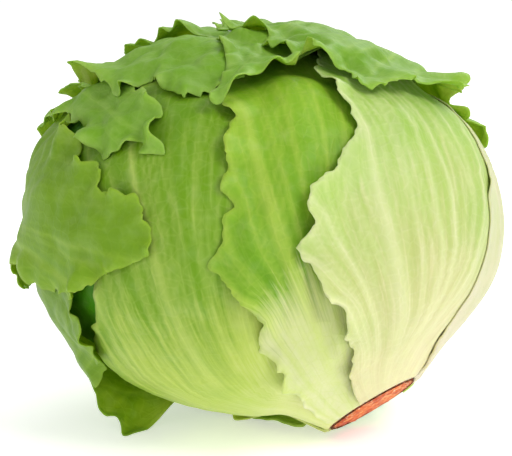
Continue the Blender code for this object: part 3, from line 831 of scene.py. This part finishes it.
# A leaf has a colour at the stem, low and high on it and at the crown, and one for its veins. Turn gives the
# shares of the way back to the stem between which the high colour goes over into the low one, bloom is how
# dull the leaf is, and rim how pale its margin.
def leaf_material(name, stem, low, high, crown, vein, turn=(0.80, 0.5), bloom=0.0, rim=0.4):
    """A lettuce leaf: cream at the stem, greener with distance, paler along its veins and at its edge."""
    paint = Paint(name)
    place = paint.place()
    fibres = {"X": paint.value("across") * 95.0, "Y": paint.value("along") * 7.0}
    streaks = paint.noise(paint.node("ShaderNodeCombineXYZ", fibres), 1.0, 4.0, 0.6)
    broad = paint.noise(place, 30.0, 4.0)
    fine = paint.noise(place, 170.0, 4.0)
    cells = {"Vector": place, "Scale": 260.0}
    threads = 1.0 - paint.node("ShaderNodeTexVoronoi", cells, {"feature": "DISTANCE_TO_EDGE"}).ramp(0.0, 0.12)
    near_stem = paint.value("stem_share") + (broad - 0.5) * 0.35 + (streaks - 0.5) * 0.30
    shade = paint.mixed(near_stem.ramp(turn[0], 0.98), low, stem)
    shade = paint.mixed(near_stem.ramp(turn[1], turn[0]), high, shade)
    shade = paint.mixed(near_stem.ramp(0.12, turn[1]), crown, shade)
    veined = paint.value("pale") * 0.48 + threads * 0.08 + streaks.ramp(0.52, 0.80) * 0.28
    shade = paint.mixed(veined.clamped(), shade, vein)
    shade = paint.mixed((paint.value("edge") ** 4.0 * rim).clamped(), shade, vein)
    shade = paint.mixed(((fine - 0.5) * 0.8 + bloom).clamped() * 0.5, shade, BLOOM)
    deep = paint.node("ShaderNodeVectorMath", {0: shade, 1: DEEPER}, {"operation": "MULTIPLY"})
    shade = paint.mixed((0.5 - broad).ramp(0.0, 0.25) * 0.35, shade, deep)
    bump = paint.bump(threads * 0.25 + fine * 0.5 + streaks * 0.35, 0.0005, 0.4)
    rough = 0.48 + bloom * 0.5 + (fine - 0.5) * 0.25
    return paint.finished(Base_Color=shade, Roughness=rough, Normal=bump, Subsurface_Weight=0.25,
                          Subsurface_Scale=0.004, Subsurface_Radius=(0.8, 1.0, 0.25),
                          Specular_IOR_Level=0.22)


def stem_material():
    """The cut face: rust, mottled with paler flesh, cream on its rim and sides."""
    paint = Paint("cut stem")
    place = paint.place()
    coarse = paint.noise(place, 130.0, 5.0, 0.65)
    spots = paint.noise(place, 420.0, 3.0)
    shade = paint.mixed(coarse.ramp(0.40, 0.60), colour(178, 60, 16), colour(222, 110, 42))
    shade = paint.mixed(spots.ramp(0.50, 0.66), shade, colour(236, 164, 104))
    shade = paint.mixed(paint.value("rim"), shade, colour(228, 196, 146))
    bump = paint.bump(coarse + spots * 0.4, 0.0015, 0.8)
    return paint.finished(Base_Color=shade, Roughness=0.62 + (coarse - 0.5) * 0.3, Normal=bump,
                          Subsurface_Weight=0.15, Subsurface_Scale=0.003, Subsurface_Radius=(1.0, 0.6, 0.3))


def milk_material():
    """Dried milk: cream to rust, bead by bead."""
    paint = Paint("dried milk")
    patches = paint.noise(paint.place(), 600.0, 3.0)
    shade = paint.mixed(patches.ramp(0.35, 0.65), colour(204, 112, 58), colour(238, 196, 158))
    bump = paint.bump(patches, 0.0003, 0.5)
    return paint.finished(Base_Color=shade, Roughness=0.3 + patches * 0.2, Normal=bump)


BLOOM = colour(196, 212, 150)
DEEPER = (0.62, 0.78, 0.45)
MATERIALS = {
    "pale_leaf": leaf_material(
        "pale leaf", colour(226, 228, 172), colour(174, 196, 82), colour(106, 150, 10),
        colour(104, 150, 10), colour(190, 208, 108), (0.72, 0.52)
    ),
    "yellow_leaf": leaf_material(
        "yellow leaf", colour(228, 228, 192), colour(200, 208, 148), colour(94, 146, 2),
        colour(142, 188, 42), colour(184, 206, 88), (0.74, 0.60)
    ),
    "cream_leaf": leaf_material(
        "cream leaf", colour(208, 196, 150), colour(174, 188, 108), colour(164, 196, 96),
        colour(122, 174, 36), colour(226, 230, 178), (0.70, 0.50)
    ),
    # The right-hand leaf: a paler copy of the cream leaf. Its cream is the leaf's own colour. The extra
    # paleness of every colour, and of its margin (rim 0.6), is painted light for the side where the light
    # falls strongest.
    "lit_right_leaf": leaf_material(
        "lit right leaf", colour(208, 200, 166), colour(196, 202, 146), colour(184, 204, 120),
        colour(160, 192, 84), colour(206, 200, 168), (0.62, 0.36), rim=0.6
    ),
    "low_leaf": leaf_material(
        "low leaf", colour(214, 216, 150), colour(166, 188, 74), colour(98, 138, 10),
        colour(92, 130, 8), colour(148, 180, 66), (0.70, 0.58)
    ),
    "green_leaf": leaf_material(
        "green leaf", colour(196, 212, 116), colour(128, 166, 28), colour(106, 148, 8),
        colour(104, 144, 10), colour(152, 184, 62), (0.86, 0.6), bloom=0.02
    ),
    "wrapper_leaf": leaf_material(
        "wrapper leaf", colour(194, 212, 124), colour(134, 174, 52), colour(112, 160, 30),
        colour(106, 154, 28), colour(158, 194, 86), (0.86, 0.6), bloom=0.08
    ),
    # The heart's deep green is partly the inner leaves' own green and partly painted shade, for the shade in
    # the gaps between the outer leaves.
    "heart_leaf": leaf_material(
        "shaded heart leaf", colour(160, 196, 80), colour(96, 156, 24), colour(66, 134, 12),
        colour(66, 134, 12), colour(130, 180, 56)
    ),
    "cut_stem": stem_material(),
    "dried_milk": milk_material(),
}

# Each leaf's slot on the part, and its material here.
LEAF_MATERIALS = {
    "leaf_front_left": ("pale_leaf", "pale_leaf"),
    "leaf_front_middle": ("yellow_leaf", "yellow_leaf"),
    "leaf_front_right": ("cream_leaf", "cream_leaf"),
    # The right leaf keeps the cream slot. Its material here is a lightened copy of it, with painted light for
    # its brightly lit side.
    "leaf_right": ("cream_leaf", "lit_right_leaf"),
    "leaf_left_low": ("green_leaf", "low_leaf"),
    "leaf_left": ("green_leaf", "green_leaf"),
    "leaf_back": ("wrapper_leaf", "wrapper_leaf"),
    "leaf_upper_left": ("wrapper_leaf", "wrapper_leaf"),
    "leaf_top_left": ("wrapper_leaf", "wrapper_leaf"),
    "leaf_top_middle": ("wrapper_leaf", "wrapper_leaf"),
    "leaf_top_right": ("wrapper_leaf", "wrapper_leaf"),
}


def cad_tree(node):
    """A piece of the part, for rays: its finer one is laid on it."""
    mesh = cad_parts[node].data
    return mesh_tree([vertex.co for vertex in mesh.vertices], [polygon.vertices for polygon in mesh.polygons])


def put_on(piece, node, material=None):
    """Puts a piece in a node's place, with its material unless it already has one."""
    if material:
        piece.data.materials.append(MATERIALS[material])
    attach(piece, "root")
    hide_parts(node)


def make_heart():
    """The ball of inner leaves, as the part has it, evened out, in a deep green that is partly painted shade.
    Gives the tree of its surface.
    """
    made = bmesh.new()
    bmesh.ops.create_icosphere(made, subdivisions=6, radius=1.0)
    tree = cad_tree("heart")
    for vertex in made.verts:
        place = vertex.co.normalized()
        distance = tree.ray_cast(Vector(MIDDLE) + OUTSIDE * place, -place)[3]
        vertex.co = Vector(MIDDLE) + place * (OUTSIDE - distance - LEAST_GAP)
    mesh = bpy.data.meshes.new("heart_ball")
    made.to_mesh(mesh)
    mesh.polygons.foreach_set("use_smooth", [True] * len(mesh.polygons))
    heart = in_scene("heart_ball", mesh)
    for name in ("pale", "edge", "stem_share", "across", "along"):
        mesh.attributes.new(name, "FLOAT", "POINT")
    put_on(heart, "heart", "heart_leaf")
    surface = BVHTree.FromBMesh(made)
    made.free()
    return surface


# The cut stem: rings of points on its face and points round it, then its sides as shares of its radius, each
# with how far behind the face it lies.
FACE_RINGS = 26
STEM_SIDES = 120
STEM_FOOT = 0.053
STEM_PROFILE = ((1.0, -0.0006), (1.0, -0.003), (1.0, -0.012), (0.98, -0.030), (0.55, -0.040), (0.3, -0.0525))


def off_axis(angle, radius):
    """A step away from the stem's axis, from its turn round it and its length."""
    return FRONT * math.cos(angle) * radius + SIDE * math.sin(angle) * radius


def make_stem():
    """The cut stem: a rough face inside a ragged rim, and the sides down to the core."""
    turn = np.linspace(0, 2 * math.pi, STEM_SIDES, endpoint=False)
    ragged = 1 + 0.012 * np.sin(5 * turn + 1) + 0.010 * np.sin(13 * turn)
    ragged += 0.008 * np.sin(31 * turn + 2) - 0.03
    profile = [(share, 0.0) for share in np.linspace(0, 1, FACE_RINGS)[1:]] + list(STEM_PROFILE)
    points, rims = [MIDDLE + AXIS * STEM_REACH], [0.0]
    for share, drop in profile:
        for k, angle in enumerate(turn):
            radius = STEM_RADIUS * share * (ragged[k] * share + 1 - share)
            height = STEM_REACH + drop
            if drop == 0.0:
                place = Vector(off_axis(angle, radius))
                bump = noise.noise(place * 420) * 0.9 + noise.noise(place * 1100) * 0.4
                height += (bump - 1.6 * share**6 - 0.3) * MM * (0.4 + 0.6 * share)
            points.append(MIDDLE + AXIS * height + off_axis(angle, radius))
            rims.append(float(drop < -0.001) * 0.9 + float(share > 0.93 and drop == 0) * 0.25)
    points.append(MIDDLE + AXIS * (STEM_REACH - STEM_FOOT))
    rims.append(1.0)
    faces = [(0, 1 + k, 1 + (k + 1) % STEM_SIDES) for k in range(STEM_SIDES)]
    for ring in range(1, len(profile)):
        for k in range(STEM_SIDES):
            a, b = 1 + ring * STEM_SIDES + k, 1 + ring * STEM_SIDES + (k + 1) % STEM_SIDES
            faces.append((a - STEM_SIDES, a, b, b - STEM_SIDES))
    last = len(points) - 1
    first = last - STEM_SIDES
    faces += [(last, first + (k + 1) % STEM_SIDES, first + k) for k in range(STEM_SIDES)]
    made = new_object("stem_cut", points, faces)
    made.data.attributes.new("rim", "FLOAT", "POINT").data.foreach_set("value", rims)
    work = bmesh.new()
    work.from_mesh(made.data)
    bmesh.ops.recalc_face_normals(work, faces=work.faces)
    work.to_mesh(made.data)
    work.free()
    put_on(made, "stem", "cut_stem")


# The beads of dried milk: where they lie, as shares of the stem's radius, and how they are strewn.
BEAD_RINGS = 3
BEAD_SIDES = 60
BEADS_FROM = 0.62
BEADS_WIDTH = 0.30
BEADS_DROP = 0.0006
BEADS = {"Density": 120000.0, "Smallest": 0.25, "Biggest": 1.0, "Radius": 0.0007}


def bead_nodes():
    """Small beads strewn over a surface: how many, how big and which material are its inputs."""
    group = bpy.data.node_groups.new("beads", "GeometryNodeTree")
    socket = group.interface.new_socket
    socket("Surface", in_out="INPUT", socket_type="NodeSocketGeometry")
    for name in BEADS:
        socket(name, in_out="INPUT", socket_type="NodeSocketFloat")
    socket("Material", in_out="INPUT", socket_type="NodeSocketMaterial")
    socket("Beads", in_out="OUTPUT", socket_type="NodeSocketGeometry")
    given, result = group.nodes.new("NodeGroupInput"), group.nodes.new("NodeGroupOutput")
    scatter = group.nodes.new("GeometryNodeDistributePointsOnFaces")
    bead = group.nodes.new("GeometryNodeMeshIcoSphere")
    size = group.nodes.new("FunctionNodeRandomValue")
    place = group.nodes.new("GeometryNodeInstanceOnPoints")
    real = group.nodes.new("GeometryNodeRealizeInstances")
    painted = group.nodes.new("GeometryNodeSetMaterial")
    scatter.inputs["Seed"].default_value = 7
    size.inputs["Seed"].default_value = 3
    bead.inputs["Subdivisions"].default_value = 2
    for source, output, target, entry in (
        (given, "Surface", scatter, "Mesh"), (given, "Density", scatter, "Density"),
        (given, "Radius", bead, "Radius"), (given, "Smallest", size, 2), (given, "Biggest", size, 3),
        (scatter, "Points", place, "Points"), (bead, "Mesh", place, "Instance"), (size, 1, place, "Scale"),
        (place, "Instances", real, "Geometry"), (real, "Geometry", painted, "Geometry"),
        (given, "Material", painted, "Material"), (painted, "Geometry", result, "Beads"),
    ):
        group.links.new(source.outputs[output], target.inputs[entry])
    return group


def make_beads():
    """Beads of dried milk on the cut face, mostly along its rim."""
    points, faces = [], []
    for ring in range(BEAD_RINGS + 1):
        radius = STEM_RADIUS * (BEADS_FROM + BEADS_WIDTH * ring / BEAD_RINGS)
        height = STEM_REACH - BEADS_DROP - BEADS_DROP * ring / BEAD_RINGS
        turns = [2 * math.pi * k / BEAD_SIDES for k in range(BEAD_SIDES)]
        points += [MIDDLE + AXIS * height + off_axis(angle, radius) for angle in turns]
    for ring in range(BEAD_RINGS):
        for k in range(BEAD_SIDES):
            a, b = ring * BEAD_SIDES + k, ring * BEAD_SIDES + (k + 1) % BEAD_SIDES
            faces.append((a, b, b + BEAD_SIDES, a + BEAD_SIDES))
    strewn = new_object("milk_ring", points, faces)
    modifier = strewn.modifiers.new("Beads", "NODES")
    modifier.node_group = bead_nodes()
    for item in modifier.node_group.interface.items_tree:
        if item.name in BEADS:
            modifier[item.identifier] = BEADS[item.name]
        if item.name == "Material":
            modifier[item.identifier] = MATERIALS["dried_milk"]
    seen = strewn.evaluated_get(bpy.context.evaluated_depsgraph_get())
    mesh = bpy.data.meshes.new_from_object(seen)
    bpy.data.objects.remove(strewn, do_unlink=True)
    mesh.name = "milk_beads"
    put_on(in_scene("milk_beads", mesh), "stem")


make_stem()
make_beads()
piles = [make_heart()]
part_trees = [cad_tree(leaf_data["name"]) for leaf_data in LEAVES]
for number, leaf_data in enumerate(LEAVES):
    sheet = Sheet(leaf_data)
    sheet.lay(part_trees[number], part_trees[number + 1:], piles)
    blade, surface = sheet.object()
    piles.append(surface)
    slot, material = LEAF_MATERIALS[sheet.name]
    put_on(blade, sheet.name, material)

# The white surface, bright enough to stay white under the soft light.
FLOOR_REACH = 3
floor_mesh = bpy.data.meshes.new("floor")
corners = [(-FLOOR_REACH, -FLOOR_REACH, 0), (FLOOR_REACH, -FLOOR_REACH, 0),
           (FLOOR_REACH, FLOOR_REACH, 0), (-FLOOR_REACH, FLOOR_REACH, 0)]
floor_mesh.from_pydata(corners, [], [(0, 1, 2, 3)])
floor = in_scene("floor", floor_mesh)
floor.data.materials.append(
    Paint("white surface").finished(Base_Color=(0.94, 0.94, 0.94, 1.0), Roughness=0.9,
                                    Emission_Color=(1.0, 1.0, 1.0, 1.0), Emission_Strength=0.42)
)


def area_light(name, place, size, power, tint=(1.0, 1.0, 1.0)):
    """A round soft light that faces the head."""
    lamp = bpy.data.lights.new(name, "AREA")
    lamp.shape = "DISK"
    lamp.size = size
    lamp.energy = power
    lamp.color = tint
    made = in_scene(name, lamp)
    made.location = place
    made.rotation_euler = (Vector(MIDDLE) - Vector(place)).to_track_quat("-Z", "Y").to_euler()


area_light("key", (0.55, -0.50, 0.75), 0.4, 4.6, (1.0, 0.98, 0.94))
area_light("fill", (-0.7, -0.7, 0.6), 0.9, 1.2)
area_light("back", (0.35, 0.7, 0.7), 0.6, 3.0)
world = bpy.data.worlds.new("room")
world.use_nodes = True
world.node_tree.nodes["Background"].inputs["Color"].default_value = (1.0, 1.0, 1.0, 1.0)
world.node_tree.nodes["Background"].inputs["Strength"].default_value = 0.66
bpy.context.scene.world = world
bpy.context.scene.view_settings.view_transform = "Standard"

# The photo is 512 pixels wide; the head's middle lies 6 pixels right of its middle and 10 above.
PHOTO_WIDTH = 512
CAMERA_DISTANCE = 0.6731
camera_data = bpy.data.cameras.new("camera")
camera_data.lens = 135
camera_data.sensor_width = 36
camera_data.shift_x = -6 / PHOTO_WIDTH
camera_data.shift_y = -10 / PHOTO_WIDTH
camera = in_scene("camera", camera_data)
rise = math.radians(FRONT_RISE)
camera.location = Vector(MIDDLE) + CAMERA_DISTANCE * Vector((0, -math.cos(rise), math.sin(rise)))
camera.rotation_euler = (math.radians(90 - FRONT_RISE), 0, 0)
bpy.context.scene.camera = camera
